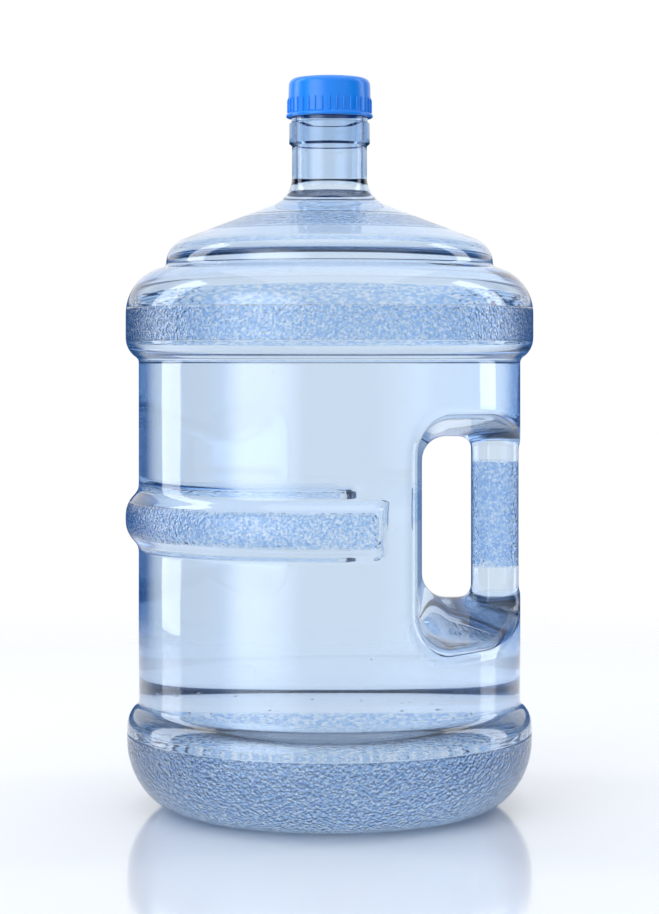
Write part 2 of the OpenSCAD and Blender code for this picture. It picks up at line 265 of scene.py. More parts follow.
# a smooth mesh on the surface where the form is zero
def netSurface(form, t, radii, heights):
    angles = spokes()
    countR, countT, countZ = len(radii), len(angles), len(heights)
    gridR, gridT, gridZ = np.meshgrid(radii, angles, heights, indexing="ij")
    field = form(gridR * np.cos(gridT), gridR * np.sin(gridT), gridZ, t)
    inside = field < 0
    nextField = np.roll(field, -1, axis=1)
    nextIn = np.roll(inside, -1, axis=1)
    corners = [a[i0:countR - 1 + i0, :, k0:countZ - 1 + k0]
               for a in (inside, nextIn) for i0 in (0, 1) for k0 in (0, 1)]
    count = sum(c.astype(np.int8) for c in corners)
    active = (count > 0) & (count < 8)
    ci, cj, ck = np.nonzero(active)
    index = np.full(active.shape, -1)
    index[ci, cj, ck] = np.arange(len(ci))
    total = np.zeros((len(ci), 3))
    hits = np.zeros(len(ci))
    nextAngles = np.append(angles[1:], 2 * math.pi)

    def nodeAt(di, dj, dk):
        i, k = ci + di, ck + dk
        value = np.where(dj == 0, field[i, cj, k], nextField[i, cj, k])
        th = angles[cj] if dj == 0 else nextAngles[cj]
        return value, np.stack([radii[i], th, heights[k]], axis=1)

    ends = [((0, b, c), (1, b, c)) for b in (0, 1) for c in (0, 1)]
    ends += [((a, 0, c), (a, 1, c)) for a in (0, 1) for c in (0, 1)]
    ends += [((a, b, 0), (a, b, 1)) for a in (0, 1) for b in (0, 1)]
    for first, second in ends:
        fa, pa = nodeAt(*first)
        fb, pb = nodeAt(*second)
        cross = (fa < 0) != (fb < 0)
        u = np.where(cross, fa / np.where(cross, fa - fb, 1), 0)
        total += np.where(cross[:, None], pa + (pb - pa) * u[:, None], 0)
        hits += cross
    cyl = total / hits[:, None]
    points = np.stack([cyl[:, 0] * np.cos(cyl[:, 1]), cyl[:, 0] * np.sin(cyl[:, 1]), cyl[:, 2]], axis=1)

    def slopeAt(p, h):
        out = np.empty_like(p)
        for axis in range(3):
            d = np.zeros(3)
            d[axis] = h
            a, b = p + d, p - d
            rise = form(a[:, 0], a[:, 1], a[:, 2], t) - form(b[:, 0], b[:, 1], b[:, 2], t)
            out[:, axis] = rise / (2 * h)
        return out

    for _ in range(net["passes"]):
        value = form(points[:, 0], points[:, 1], points[:, 2], t)
        slope = slopeAt(points, net["probe"])
        move = -(value / np.maximum((slope ** 2).sum(axis=1), net["leastSlope"]))[:, None] * slope
        length = np.maximum(np.linalg.norm(move, axis=1), 1e-9)
        points += move * np.minimum(1, net["longestMove"] / length)[:, None]
    normals = slopeAt(points, net["normalProbe"])
    normals /= np.linalg.norm(normals, axis=1)[:, None]

    faces = []

    def addQuads(cells, start, stop):
        change = (start != stop)
        ids = [index[cell] for cell in cells]
        good = change & np.logical_and.reduce([c >= 0 for c in ids])
        quad = np.stack([c[good] for c in ids], axis=1)
        flip = stop[good]
        quad[flip] = quad[flip][:, ::-1]
        faces.append(quad)

    spans = [np.arange(count) for count in (countR, countT, countZ)]
    cellI, cellJ, cellK = np.meshgrid(*spans, indexing="ij")
    before = (cellJ - 1) % countT

    def pick(mask):
        return cellI[mask], cellJ[mask], cellK[mask], before[mask]

    i, j, k, b = pick((cellI < countR - 1) & (cellK > 0) & (cellK < countZ - 1))
    addQuads([(i, b, k - 1), (i, j, k - 1), (i, j, k), (i, b, k)], inside[i, j, k], inside[i + 1, j, k])
    i, j, k, b = pick((cellI > 0) & (cellI < countR - 1) & (cellK > 0) & (cellK < countZ - 1))
    addQuads([(i - 1, j, k - 1), (i - 1, j, k), (i, j, k), (i, j, k - 1)], inside[i, j, k], nextIn[i, j, k])
    i, j, k, b = pick((cellI > 0) & (cellI < countR - 1) & (cellK < countZ - 1))
    addQuads([(i - 1, b, k), (i, b, k), (i, j, k), (i - 1, j, k)], inside[i, j, k], inside[i, j, k + 1])
    faces = np.concatenate(faces)
    axisLoop = [int(index[0, jj, :][index[0, jj, :] >= 0][0]) for jj in range(countT)]
    topLoop = [int(index[:, jj, -1][index[:, jj, -1] >= 0][0]) for jj in range(countT)]
    return points, normals, faces, axisLoop, topLoop


def writeMesh(name, points, faces, normals=None):
    mesh = bpy.data.meshes.new(name)
    mesh.from_pydata((np.asarray(points) * mm).tolist(), [], faces)
    mesh.validate()
    mesh.shade_smooth()
    if normals is not None:
        own = np.array([v.normal[:] for v in mesh.vertices])
        known = np.linalg.norm(normals, axis=1) > 0.5
        own[known] = normals[known]
        mesh.normals_split_custom_set_from_vertices(own.tolist())
    piece = bpy.data.objects.new(name, mesh)
    bpy.context.scene.collection.objects.link(piece)
    return piece


# turned rings that carry a surface on from its last loop
def latheRings(points, faces, loop, profile, shape=None, flip=False):
    angles = np.arctan2(points[loop, 1], points[loop, 0])
    last = list(loop)
    count = len(loop)
    grown = [points]
    start = len(points)
    for r, z in profile:
        rr = np.full(count, float(r))
        if shape is not None:
            rr = shape(rr, angles, z)
        grown.append(np.stack([rr * np.cos(angles), rr * np.sin(angles), np.full(count, float(z))], axis=1))
        ring = list(range(start, start + count))
        start += count
        for a in range(count):
            b = (a + 1) % count
            quad = [last[a], last[b], ring[b], ring[a]]
            faces.append(quad[::-1] if flip else quad)
        last = ring
    return np.concatenate(grown), last


def closeLoop(points, faces, loop, flip=False):   # a fan to a point on the axis
    z = points[loop, 2].mean()
    points = np.concatenate([points, [[0, 0, z]]])
    pole = len(points) - 1
    for a in range(len(loop)):
        b = (a + 1) % len(loop)
        tri = [loop[a], loop[b], pole]
        faces.append(tri[::-1] if flip else tri)
    return points


def pathPoints(corners, arcSteps=3):          # the same rounded outline as a list of points
    out = [tuple(corners[0][:2])]
    for part in roundedPath(corners):
        if part[0] == "arc":
            _, centre, size, first, turn, side = part
            for n in range(arcSteps + 1):
                angle = first + turn * n / arcSteps
                out.append((centre[0] + size * math.cos(angle), centre[1] + size * math.sin(angle)))
    out.append(tuple(corners[-1][:2]))
    return out


def fillIn(points, step):                     # long stretches broken into short ones
    out = [points[0]]
    for a, b in zip(points, points[1:]):
        count = max(1, math.ceil(math.dist(a, b) / step))
        out.extend((a[0] + (b[0] - a[0]) * n / count, a[1] + (b[1] - a[1]) * n / count)
                   for n in range(1, count + 1))
    return out


def startRing(r, z, count):                   # the first ring of a turned piece
    angle = np.arange(count) * 2 * math.pi / count
    points = np.stack([r * np.cos(angle), r * np.sin(angle), np.full(count, z)], axis=1)
    return points, list(range(count))


neck = {
    "collarZ": 438.6, "collarR": 26.8, "stepZ": 452.6, "stepR": 25.5,
    "finishZ": 458.2, "finishR": 23.9,        # the part that carries the thread
    "threadZ": 462.8, "pitch": 6, "turns": 1.5,
    "ridge": 1.3, "ridgeHalf": 1.55, "ridgeFlank": 0.75,
    "leadRise": 8,         # a ridge is at full height after an eighth of a turn
    "rowStep": 0.62,       # spacing of rings along the thread
    "edge": 0.6, "boreStep": 5,
}


def ridgeAt(angle, z, startZ, turns):         # 0 to 1 across a climbing ridge
    part = (angle / (2 * math.pi)) % 1
    n = np.clip(np.round((z - startZ) / neck["pitch"] - part), 0, math.ceil(turns))
    place = n + part
    away = np.abs(z - startZ - place * neck["pitch"])
    lead = np.clip(np.minimum(place, turns - place) * neck["leadRise"], 0, 1)
    flank = np.clip((neck["ridgeHalf"] - away) / neck["ridgeFlank"], 0, 1)
    return flank * flank * (3 - 2 * flank) * lead


def neckThread(r, angle, z):
    return r + neck["ridge"] * ridgeAt(angle, z, neck["threadZ"], neck["turns"])


def bareProfile():                            # collar and step, from the neck up to the thread
    n, j = neck, jug
    return [(j["neckR"], 424, 0), (j["neckR"], n["collarZ"] - 1.6, 1), (n["collarR"], n["collarZ"], 0.8),
            (n["collarR"], n["stepZ"] - 0.6, 0.8), (n["stepR"], n["stepZ"], 0.5),
            (n["stepR"], n["finishZ"], 0.5), (n["finishR"], n["finishZ"] + 0.4, 0.4)]


def buildBottle():
    rings, heights = net["rings"], net["heights"]
    outer, outerN, quads, axisLoop, topLoop = netSurface(bottleForm, 0, rings, heights)
    inner, innerN, innerQuads, innerAxis, innerTop = netSurface(bottleForm, jug["wall"], rings, heights)
    base = len(outer)
    points = np.concatenate([outer, inner])
    normals = np.concatenate([outerN, -innerN])
    faces = quads.tolist() + (innerQuads[:, ::-1] + base).tolist()
    topLow = float(outer[topLoop, 2].mean())
    profile = [p for p in fillIn(pathPoints(bareProfile()), 4) if p[1] > topLow + 1]
    points, last = latheRings(points, faces, topLoop, profile)
    rows = np.arange(neck["finishZ"] + 1.4, jug["rimZ"] - 1, neck["rowStep"])
    finish = [(neck["finishR"], z) for z in rows]
    points, last = latheRings(points, faces, last, finish, shape=neckThread)
    edge, top = neck["edge"], jug["rimZ"]
    rim = [(neck["finishR"], top - edge, 0), (neck["finishR"], top, edge), (jug["mouthR"], top, edge),
           (jug["mouthR"], top - 4, 0)]
    points, last = latheRings(points, faces, last, pathPoints(rim)[1:])
    bore = [(jug["mouthR"], z) for z in np.arange(top - 9, topLow + 3, -neck["boreStep"])]
    points, last = latheRings(points, faces, last, bore)
    goal = [base + v for v in innerTop]            # the bore's foot meets the top of the inner wall
    for a in range(len(last)):
        b = (a + 1) % len(last)
        faces.append([last[a], last[b], goal[b], goal[a]])
    points = closeLoop(points, faces, axisLoop, flip=True)
    points = closeLoop(points, faces, [base + v for v in innerAxis])
    normals = np.concatenate([normals, np.zeros((len(points) - len(normals), 3))])
    return writeMesh("bottleShell", points, faces, normals)


water = {
    "overlap": 0.12,       # reach into the wall, so that no air shows between them
    "surfaceDrop": 1.2,    # the surface below its clinging edge
    "edgeCurve": [(1.1, 0.2), (1.8, 0), (2.6, 0.6), (4.2, 1.05), (7, 1.2), (12, 1.2)],   # in and down
    "middleShare": 0.3,
    "ior": 1.333, "through": (0.1, 0.5, 0.82), "throughDensity": 0.4,
}


def buildWater():
    w, level = water, float(waterHigh[2])
    heights = np.array([z for z in net["heights"] if z < level - 1])
    inset = jug["wall"] - w["overlap"]
    points, normals, quads, axisLoop, topLoop = netSurface(bottleForm, inset, net["rings"], heights)
    faces = quads.tolist()
    edge = float(np.hypot(points[topLoop, 0], points[topLoop, 1]).mean())
    rise = [(edge - inward, level - down) for inward, down in w["edgeCurve"]]
    rise.append((edge * w["middleShare"], level - w["surfaceDrop"]))
    points, last = latheRings(points, faces, topLoop, rise)
    points = closeLoop(points, faces, axisLoop, flip=True)
    points = closeLoop(points, faces, last)
    normals = np.concatenate([normals, np.zeros((len(points) - len(normals), 3))])
    return writeMesh("waterBody", points, faces, normals)


cap = {
    "skirtR": 27.4, "skirtRound": 30, "skirtBend": 14,         # the bend is this far below the top
    "topR": 26.9, "edge": 4.6, "dome": 0.7, "domeShare": 0.55, "domeRound": 8,
    "lipR": 28.8, "lipH": 3.2, "lipStraight": 1.9, "lipRound": 0.9, "lipWall": 0.6,
    "boreR": 25.7, "lowBoreR": 26.0, "threadZ": 459.8, "turns": 1.25, "rowStep": 0.6,
    "ceilingGap": 0.1,     # above the liner
    "spokes": 144, "linerSpokes": 96,
    "ribs": 36, "ribRing": 27.62, "ribFoot": 2.4, "ribTop": 12.7, "ribW": 1.2,
}


def capThread(r, angle, z):
    return r - neck["ridge"] * ridgeAt(angle, z, cap["threadZ"], cap["turns"])


def buildCap():
    low, top = float(capLow[2]), float(capHigh[2])
    c = cap
    outside = [(c["lowBoreR"] + c["lipWall"], low, 0),
               (c["lipR"], low, c["lipRound"]), (c["lipR"], low + c["lipStraight"], c["lipRound"]),
               (c["skirtR"], low + c["lipH"], 0.8), (c["skirtR"], top - c["skirtBend"], c["skirtRound"]),
               (c["topR"], top - 0.4, c["edge"]),
               (c["topR"] * c["domeShare"], top - c["dome"] * 0.3, c["domeRound"]), (2, top, 0)]
    outline = fillIn(pathPoints(outside, 6), 3)
    points, first = startRing(*outline[0], c["spokes"])
    faces = []
    points, last = latheRings(points, faces, first, outline[1:])
    points = closeLoop(points, faces, last)
    ceiling = float(linerHigh[2]) + c["ceilingGap"]
    inside = [(c["lowBoreR"], low + 0.6), (c["lowBoreR"], low + 2), (c["boreR"], low + 2.9)]
    points, last = latheRings(points, faces, first, inside, flip=True)
    threaded = [(c["boreR"], h) for h in np.arange(low + 3.4, ceiling - 1.4, c["rowStep"])]
    points, last = latheRings(points, faces, last, threaded, shape=capThread, flip=True)
    roof = [(c["boreR"], ceiling - 0.4), (c["boreR"] - 0.4, ceiling), (c["boreR"] * 0.5, ceiling), (2, ceiling)]
    points, last = latheRings(points, faces, last, roof, flip=True)
    points = closeLoop(points, faces, last, flip=True)
    return writeMesh("capShell", points, faces)


def buildLiner():
    low, top = float(linerLow[2]), float(linerHigh[2])
    rim = float(linerHigh[0])
    outline = pathPoints([(4, low + 0.12, 0), (14, low + 0.12, 0.2), (15, low, 0.2), (rim, low, 0.3),
                          (rim, top, 0.3), (4, top, 0)], 3)    # a shallow dish inside a flat sealing ring
    points, first = startRing(*outline[0], cap["linerSpokes"])
    faces = []
    points, last = latheRings(points, faces, first, fillIn(outline, 4)[1:])
    points = closeLoop(points, faces, last)
    points = closeLoop(points, faces, first, flip=True)
    return writeMesh("linerDisc", points, faces)


# trees for what repeats: grip ribs round the cap, and air bubbles that cling inside the bottle
def nodeTree(name, inputs):
    tree = bpy.data.node_groups.new(name, "GeometryNodeTree")
    tree.interface.new_socket("Geometry", in_out="INPUT", socket_type="NodeSocketGeometry")
    for kind, label, value in inputs:
        socket = tree.interface.new_socket(label, in_out="INPUT", socket_type=kind)
        if value is not None:
            socket.default_value = value
    tree.interface.new_socket("Geometry", in_out="OUTPUT", socket_type="NodeSocketGeometry")
    return tree, tree.nodes.new("NodeGroupInput"), tree.nodes.new("NodeGroupOutput")


def finishTree(tree, given, out, instances):
    joined = addNode(tree, "GeometryNodeRealizeInstances")
    dressed = addNode(tree, "GeometryNodeSetMaterial")
    tree.links.new(instances, joined.inputs[0])
    tree.links.new(joined.outputs[0], dressed.inputs["Geometry"])
    tree.links.new(given.outputs["Material"], dressed.inputs["Material"])
    tree.links.new(dressed.outputs[0], out.inputs[0])


def makeRibTree():
    tree, given, out = nodeTree("capGripRibs", [
        ("NodeSocketInt", "Rib count", 36), ("NodeSocketFloat", "Ring radius", 0.0276),
        ("NodeSocketFloat", "Rib foot", 0.4575), ("NodeSocketFloat", "Rib top", 0.4685),
        ("NodeSocketFloat", "Rib width", 0.0012), ("NodeSocketMaterial", "Material", None)])
    link = tree.links.new
    line = addNode(tree, "GeometryNodeCurvePrimitiveLine")
    for label, slot in (("Rib foot", "Start"), ("Rib top", "End")):
        place = addNode(tree, "ShaderNodeCombineXYZ")
        link(given.outputs[label], place.inputs["Z"])
        link(place.outputs[0], line.inputs[slot])
    spread = addNode(tree, "GeometryNodeResampleCurve")
    spread.inputs["Count"].default_value = 9           # rows along a rib
    link(line.outputs[0], spread.inputs["Curve"])
    along = addNode(tree, "GeometryNodeSplineParameter")
    off = mathNode(tree, "ABSOLUTE", mathNode(tree, "MULTIPLY_ADD", along.outputs["Factor"], 2.0, -1.0))
    # full width along the middle, thinning out only near both ends
    taper = mathNode(tree, "SQRT", mathNode(tree, "SUBTRACT", 1.02, mathNode(tree, "POWER", off, 8.0)))
    thick = addNode(tree, "GeometryNodeSetCurveRadius")
    link(spread.outputs[0], thick.inputs["Curve"])
    link(taper, thick.inputs["Radius"])
    outline = addNode(tree, "GeometryNodeCurvePrimitiveCircle")
    outline.inputs["Resolution"].default_value = 10
    link(mathNode(tree, "DIVIDE", given.outputs["Rib width"], 2.0), outline.inputs["Radius"])
    rod = addNode(tree, "GeometryNodeCurveToMesh")
    link(thick.outputs[0], rod.inputs["Curve"])
    link(outline.outputs[0], rod.inputs["Profile Curve"])
    rod.inputs["Fill Caps"].default_value = True
    if "Scale" in rod.inputs:
        link(taper, rod.inputs["Scale"])
    ring = addNode(tree, "GeometryNodeMeshCircle")
    link(given.outputs["Rib count"], ring.inputs["Vertices"])
    link(given.outputs["Ring radius"], ring.inputs["Radius"])
    each = addNode(tree, "GeometryNodeInstanceOnPoints")
    link(ring.outputs[0], each.inputs["Points"])
    link(rod.outputs[0], each.inputs["Instance"])
    finishTree(tree, given, out, each.outputs[0])
    return tree


def makeBubbleTree():
    tree, given, out = nodeTree("clingingBubbles", [
        ("NodeSocketFloat", "Smallest", 0.0002), ("NodeSocketFloat", "Largest", 0.0007),
        ("NodeSocketInt", "Seed", 5), ("NodeSocketMaterial", "Material", None)])
    link = tree.links.new
    ball = addNode(tree, "GeometryNodeMeshIcoSphere")
    ball.inputs["Radius"].default_value = 1
    ball.inputs["Subdivisions"].default_value = 2
    smooth = addNode(tree, "GeometryNodeSetShadeSmooth")
    link(ball.outputs[0], smooth.inputs[0])
    size = addNode(tree, "FunctionNodeRandomValue", data_type="FLOAT")
    for label, slot in (("Smallest", 2), ("Largest", 3), ("Seed", 8)):
        link(given.outputs[label], size.inputs[slot])
    each = addNode(tree, "GeometryNodeInstanceOnPoints")
    link(given.outputs["Geometry"], each.inputs["Points"])
    link(smooth.outputs[0], each.inputs["Instance"])
    link(size.outputs[1], each.inputs["Scale"])
    finishTree(tree, given, out, each.outputs[0])
    return tree


def grow(name, tree, values, points=()):      # run a tree once and keep its result as a plain mesh
    seedMesh = bpy.data.meshes.new(name + "Seed")
    seedMesh.from_pydata(list(points), [], [])
    host = bpy.data.objects.new(name + "Host", seedMesh)
    bpy.context.scene.collection.objects.link(host)
    step = host.modifiers.new("grow", "NODES")
    step.node_group = tree
    names = {item.name: item.identifier for item in tree.interface.items_tree if item.in_out == "INPUT"}
    for label, value in values.items():
        step[names[label]] = value
    view = bpy.context.evaluated_depsgraph_get()
    mesh = bpy.data.meshes.new_from_object(host.evaluated_get(view), depsgraph=view)
    host.modifiers.remove(step)
    bpy.data.objects.remove(host)
    mesh.name = name
    piece = bpy.data.objects.new(name, mesh)
    bpy.context.scene.collection.objects.link(piece)
    return piece


bubbles = {
    "ringCount": 90, "ringLow": 50, "ringHigh": 68,      # most sit in a ring above the base
    "wallCount": 26, "wallLow": 75, "wallHigh": 290,
    "smallest": 0.00022, "largest": 0.0007,              # radius in metres
    "offWall": 0.75, "seed": 11, "sizeSeed": 5,
    "underPocket": [(74, -34), (75.5, -27), (69, -41), (83, -22), (72, 30)],
    "lookFrom": 20, "lookLow": 70, "lookHigh": 150, "looks": 900,   # where the wall is searched for
}


def bubblePlaces():
    b, wall = bubbles, jug["wall"]
    draw = np.random.default_rng(b["seed"])
    places = []
    reach = np.linspace(b["lookFrom"], jug["bandR"], b["looks"])
    for count, low, high in ((b["ringCount"], b["ringLow"], b["ringHigh"]),
                             (b["wallCount"], b["wallLow"], b["wallHigh"])):
        for angle, z in zip(draw.uniform(0, 2 * math.pi, count), draw.uniform(low, high, count)):
            x, y = reach * math.cos(angle), reach * math.sin(angle)
            inside = bottleForm(x, y, np.full(b["looks"], z), wall)
            r = reach[np.nonzero(inside < -b["offWall"])[0][-1]]
            places.append((r * math.cos(angle) * mm, r * math.sin(angle) * mm, z * mm))
    for x, y in b["underPocket"]:
        z = np.linspace(b["lookLow"], b["lookHigh"], b["looks"])
        inside = bottleForm(np.full(b["looks"], float(x)), np.full(b["looks"], float(y)), z, wall)
        places.append((x * mm, y * mm, z[np.nonzero(inside > -b["offWall"])[0][0]] * mm))
    return places


bottleShell = buildBottle()
print("bottle:", len(bottleShell.data.polygons), "faces")
waterBody = buildWater()
print("water:", len(waterBody.data.polygons), "faces")
capShell = buildCap()
linerDisc = buildLiner()
print("cap and liner:", len(capShell.data.polygons), "and", len(linerDisc.data.polygons), "faces")


def between(tree, value, low, high, soft):    # 1 between low and high, fading over soft outside them
    rise = addNode(tree, "ShaderNodeMapRange", interpolation_type="SMOOTHSTEP")
    fall = addNode(tree, "ShaderNodeMapRange", interpolation_type="SMOOTHSTEP")
    for node, start, stop in ((rise, low - soft, low), (fall, high + soft, high)):
        tree.links.new(value, node.inputs["Value"])
        node.inputs["From Min"].default_value = start
        node.inputs["From Max"].default_value = stop
    return mathNode(tree, "MULTIPLY", rise.outputs[0], fall.outputs[0])


def makeGrainGroup():                         # pebbled mould grain, seen where the mask lets it, with painted shade on its high spots
    group, given, out = newGroup("mouldGrain", [
        ("NodeSocketFloat", "Cell size", 0.0022), ("NodeSocketFloat", "Depth", 0.0001),
        ("NodeSocketFloat", "Mask", 1.0)], [("NodeSocketFloat", "Height"), ("NodeSocketFloat", "ShadeFleck")])
    place = addNode(group, "ShaderNodeTexCoord")
    ratio = mathNode(group, "DIVIDE", 1.0, given.outputs["Cell size"])
    noise = addNode(group, "ShaderNodeTexNoise")
    cells = addNode(group, "ShaderNodeTexVoronoi", feature="SMOOTH_F1")
    for node, share in ((noise, 0.62), (cells, 1.0)):
        scale = mathNode(group, "MULTIPLY", ratio, share)
        group.links.new(scale, node.inputs["Scale"])
        group.links.new(place.outputs["Object"], node.inputs["Vector"])
    noise.inputs["Detail"].default_value = 1.5
    noise.inputs["Distortion"].default_value = 0.6
    cells.inputs["Smoothness"].default_value = 0.6
    dots = mathNode(group, "MULTIPLY", cells.outputs["Distance"], 0.8)
    height = mathNode(group, "ADD", noise.outputs[0], dots)
    shadeFleck = addNode(group, "ShaderNodeMapRange", interpolation_type="SMOOTHSTEP")  # painted shade: darkens the high spots into a blue speckle that stands for light bent by the grain
    shadeFleck.inputs["From Min"].default_value = 0.74
    shadeFleck.inputs["From Max"].default_value = 1.0
    group.links.new(height, shadeFleck.inputs["Value"])
    shadedSpots = mathNode(group, "MULTIPLY", shadeFleck.outputs[0], given.outputs["Mask"])
    group.links.new(shadedSpots, out.inputs["ShadeFleck"])
    height = mathNode(group, "MULTIPLY", height, given.outputs["Depth"])
    height = mathNode(group, "MULTIPLY", height, given.outputs["Mask"])
    group.links.new(height, out.inputs["Height"])
    return group


mouldGrain = makeGrainGroup()

plastic = {
    "ior": 1.5, "rough": 0.015,
    # the fleck colour is painted shade, the blue that the grain's high spots are darkened to
    "grainCell": 0.0018, "grainDepth": 0.0005, "grainRough": 0.09, "shadeFleck": (0.52, 0.69, 0.92),
    "bandLow": 0.3085, "bandHigh": 0.3285,    # grained places, in metres above the foot
    "coneLow": 0.381, "coneHigh": 0.3895,
    "baseLow": 0.0015, "baseHigh": 0.049,
    "barLow": 0.160, "barHigh": 0.227, "barHalf": 0.022,
    "ribInset": 5.5, "ribStop": 5,            # mm, how far the grain keeps from the rib's foot and end
    "soft": 0.001, "anywhere": 1,             # edge of the grain; a limit that nothing reaches
    "waveSize": 0.055, "waveDepth": 0.0004,   # slow ripple of blown plastic
    "clear": (0.97, 0.985, 1.0), "thick": (0.93, 0.93, 0.93),   # the base is blown thicker and tints more, and is painted darker: partly thicker plastic, partly painted shade of the shadowed floor seen through it
    "thickShadeLow": 0.050, "thickShadeHigh": 0.100,
    "through": (0.17, 0.46, 0.75), "throughDensity": 120,       # blue that builds up along the wall
}


def tintThrough(tree, colour, density):       # colour that grows with the way through the material
    absorb = addNode(tree, "ShaderNodeVolumeAbsorption")
    absorb.inputs["Color"].default_value = (*colour, 1)
    absorb.inputs["Density"].default_value = density
    tree.links.new(absorb.outputs[0], tree.nodes["Material Output"].inputs["Volume"])


def plasticMaterial():
    c, j = plastic, jug
    material = bpy.data.materials.new("clearBluePlastic")
    material.use_nodes = True
    tree = material.node_tree
    shader = tree.nodes["Principled BSDF"]
    shader.inputs["IOR"].default_value = c["ior"]
    shader.inputs["Transmission Weight"].default_value = 1
    place = addNode(tree, "ShaderNodeTexCoord")
    split = addNode(tree, "ShaderNodeSeparateXYZ")
    tree.links.new(place.outputs["Object"], split.inputs[0])
    x, y, z = split.outputs
    flat = addNode(tree, "ShaderNodeCombineXYZ")
    tree.links.new(x, flat.inputs[0])
    tree.links.new(y, flat.inputs[1])
    length = addNode(tree, "ShaderNodeVectorMath", operation="LENGTH")
    tree.links.new(flat.outputs[0], length.inputs[0])
    r = length.outputs["Value"]
    soft, anywhere = c["soft"], c["anywhere"]
    band = between(tree, z, c["bandLow"], c["bandHigh"], soft * 1.2)
    base = between(tree, z, c["baseLow"], c["baseHigh"], soft * 1.5)
    ribMid, ribHalf = j["waistZ"] * mm, j["ribFlat"] * mm / 2
    rib = between(tree, z, ribMid - ribHalf, ribMid + ribHalf, soft)
    ribFoot = (j["sideR"] + c["ribInset"]) * mm
    rib = mathNode(tree, "MULTIPLY", rib, between(tree, r, ribFoot, anywhere, soft))
    turn = math.radians(j["ribTurn"])
    sideways = mathNode(tree, "MULTIPLY", y, math.sin(turn))
    across = mathNode(tree, "MULTIPLY_ADD", x, math.cos(turn), sideways)
    stop = (j["ribEnd"] - c["ribStop"]) * mm
    rib = mathNode(tree, "MULTIPLY", rib, between(tree, across, -anywhere, stop, soft))
    bar = between(tree, z, c["barLow"], c["barHigh"], soft * 2)
    barBack = (j["sideR"] - j["gripW"] - 1) * mm
    bar = mathNode(tree, "MULTIPLY", bar, between(tree, x, barBack, anywhere, soft))
    bar = mathNode(tree, "MULTIPLY", bar, between(tree, y, -c["barHalf"], c["barHalf"], soft))
    cone = between(tree, z, c["coneLow"], c["coneHigh"], soft * 0.8)
    mask = band
    for part in (base, rib, bar, cone):
        mask = mathNode(tree, "MAXIMUM", mask, part)
    grain = addNode(tree, "ShaderNodeGroup", node_tree=mouldGrain)
    grain.inputs["Cell size"].default_value = c["grainCell"]
    grain.inputs["Depth"].default_value = c["grainDepth"]
    tree.links.new(mask, grain.inputs["Mask"])
    wave = addNode(tree, "ShaderNodeTexNoise")
    wave.inputs["Scale"].default_value = 1 / c["waveSize"]
    wave.inputs["Detail"].default_value = 0.5
    tree.links.new(place.outputs["Object"], wave.inputs["Vector"])
    ripple = mathNode(tree, "MULTIPLY", wave.outputs[0], c["waveDepth"])
    bump = addNode(tree, "ShaderNodeBump")
    bump.inputs["Distance"].default_value = 1
    tree.links.new(mathNode(tree, "ADD", grain.outputs[0], ripple), bump.inputs["Height"])
    tree.links.new(bump.outputs[0], shader.inputs["Normal"])
    # painted shade: the shell's colour darkens towards the base, partly for thicker plastic, partly for the
    # shadowed floor seen through it
    thickShadeShare = addNode(tree, "ShaderNodeMapRange", interpolation_type="SMOOTHSTEP")
    tree.links.new(z, thickShadeShare.inputs["Value"])
    thickShadeShare.inputs["From Min"].default_value = c["thickShadeHigh"]
    thickShadeShare.inputs["From Max"].default_value = c["thickShadeLow"]
    tint = addNode(tree, "ShaderNodeMix", data_type="RGBA")
    tree.links.new(thickShadeShare.outputs[0], tint.inputs["Factor"])
    tint.inputs[6].default_value = (*c["clear"], 1)
    tint.inputs[7].default_value = (*c["thick"], 1)
    # painted shade: the fleck colour darkens the base colour on the grain's high spots
    speckleShade = addNode(tree, "ShaderNodeMix", data_type="RGBA", blend_type="MULTIPLY")
    tree.links.new(grain.outputs["ShadeFleck"], speckleShade.inputs["Factor"])
    tree.links.new(tint.outputs[2], speckleShade.inputs[6])
    speckleShade.inputs[7].default_value = (*c["shadeFleck"], 1)
    tree.links.new(speckleShade.outputs[2], shader.inputs["Base Color"])
    rough = mathNode(tree, "MULTIPLY_ADD", mask, c["grainRough"], c["rough"])
    tree.links.new(rough, shader.inputs["Roughness"])
    tintThrough(tree, c["through"], c["throughDensity"])
    return material


def waterMaterial():
    material = bpy.data.materials.new("stillWater")
    material.use_nodes = True
    tree = material.node_tree
    shader = tree.nodes["Principled BSDF"]
    shader.inputs["Base Color"].default_value = (1, 1, 1, 1)
    shader.inputs["Roughness"].default_value = 0
    shader.inputs["IOR"].default_value = water["ior"]
    shader.inputs["Transmission Weight"].default_value = 1
    tintThrough(tree, water["through"], water["throughDensity"])
    return material


def makeVariationGroup():                     # slow cloud and fine speckle, both 0 to 1
    group, given, out = newGroup("surfaceVariation", [
        ("NodeSocketFloat", "Cloud size", 0.02), ("NodeSocketFloat", "Speckle size", 0.0006)],
        [("NodeSocketFloat", "Cloud"), ("NodeSocketFloat", "Speckle")])
    place = addNode(group, "ShaderNodeTexCoord")
    for size, slot, detail in (("Cloud size", "Cloud", 2.0), ("Speckle size", "Speckle", 3.0)):
        noise = addNode(group, "ShaderNodeTexNoise")
        noise.inputs["Detail"].default_value = detail
        group.links.new(mathNode(group, "DIVIDE", 1.0, given.outputs[size]), noise.inputs["Scale"])
        group.links.new(place.outputs["Object"], noise.inputs["Vector"])
        group.links.new(noise.outputs[0], out.inputs[slot])
    return group


surfaceVariation = makeVariationGroup()


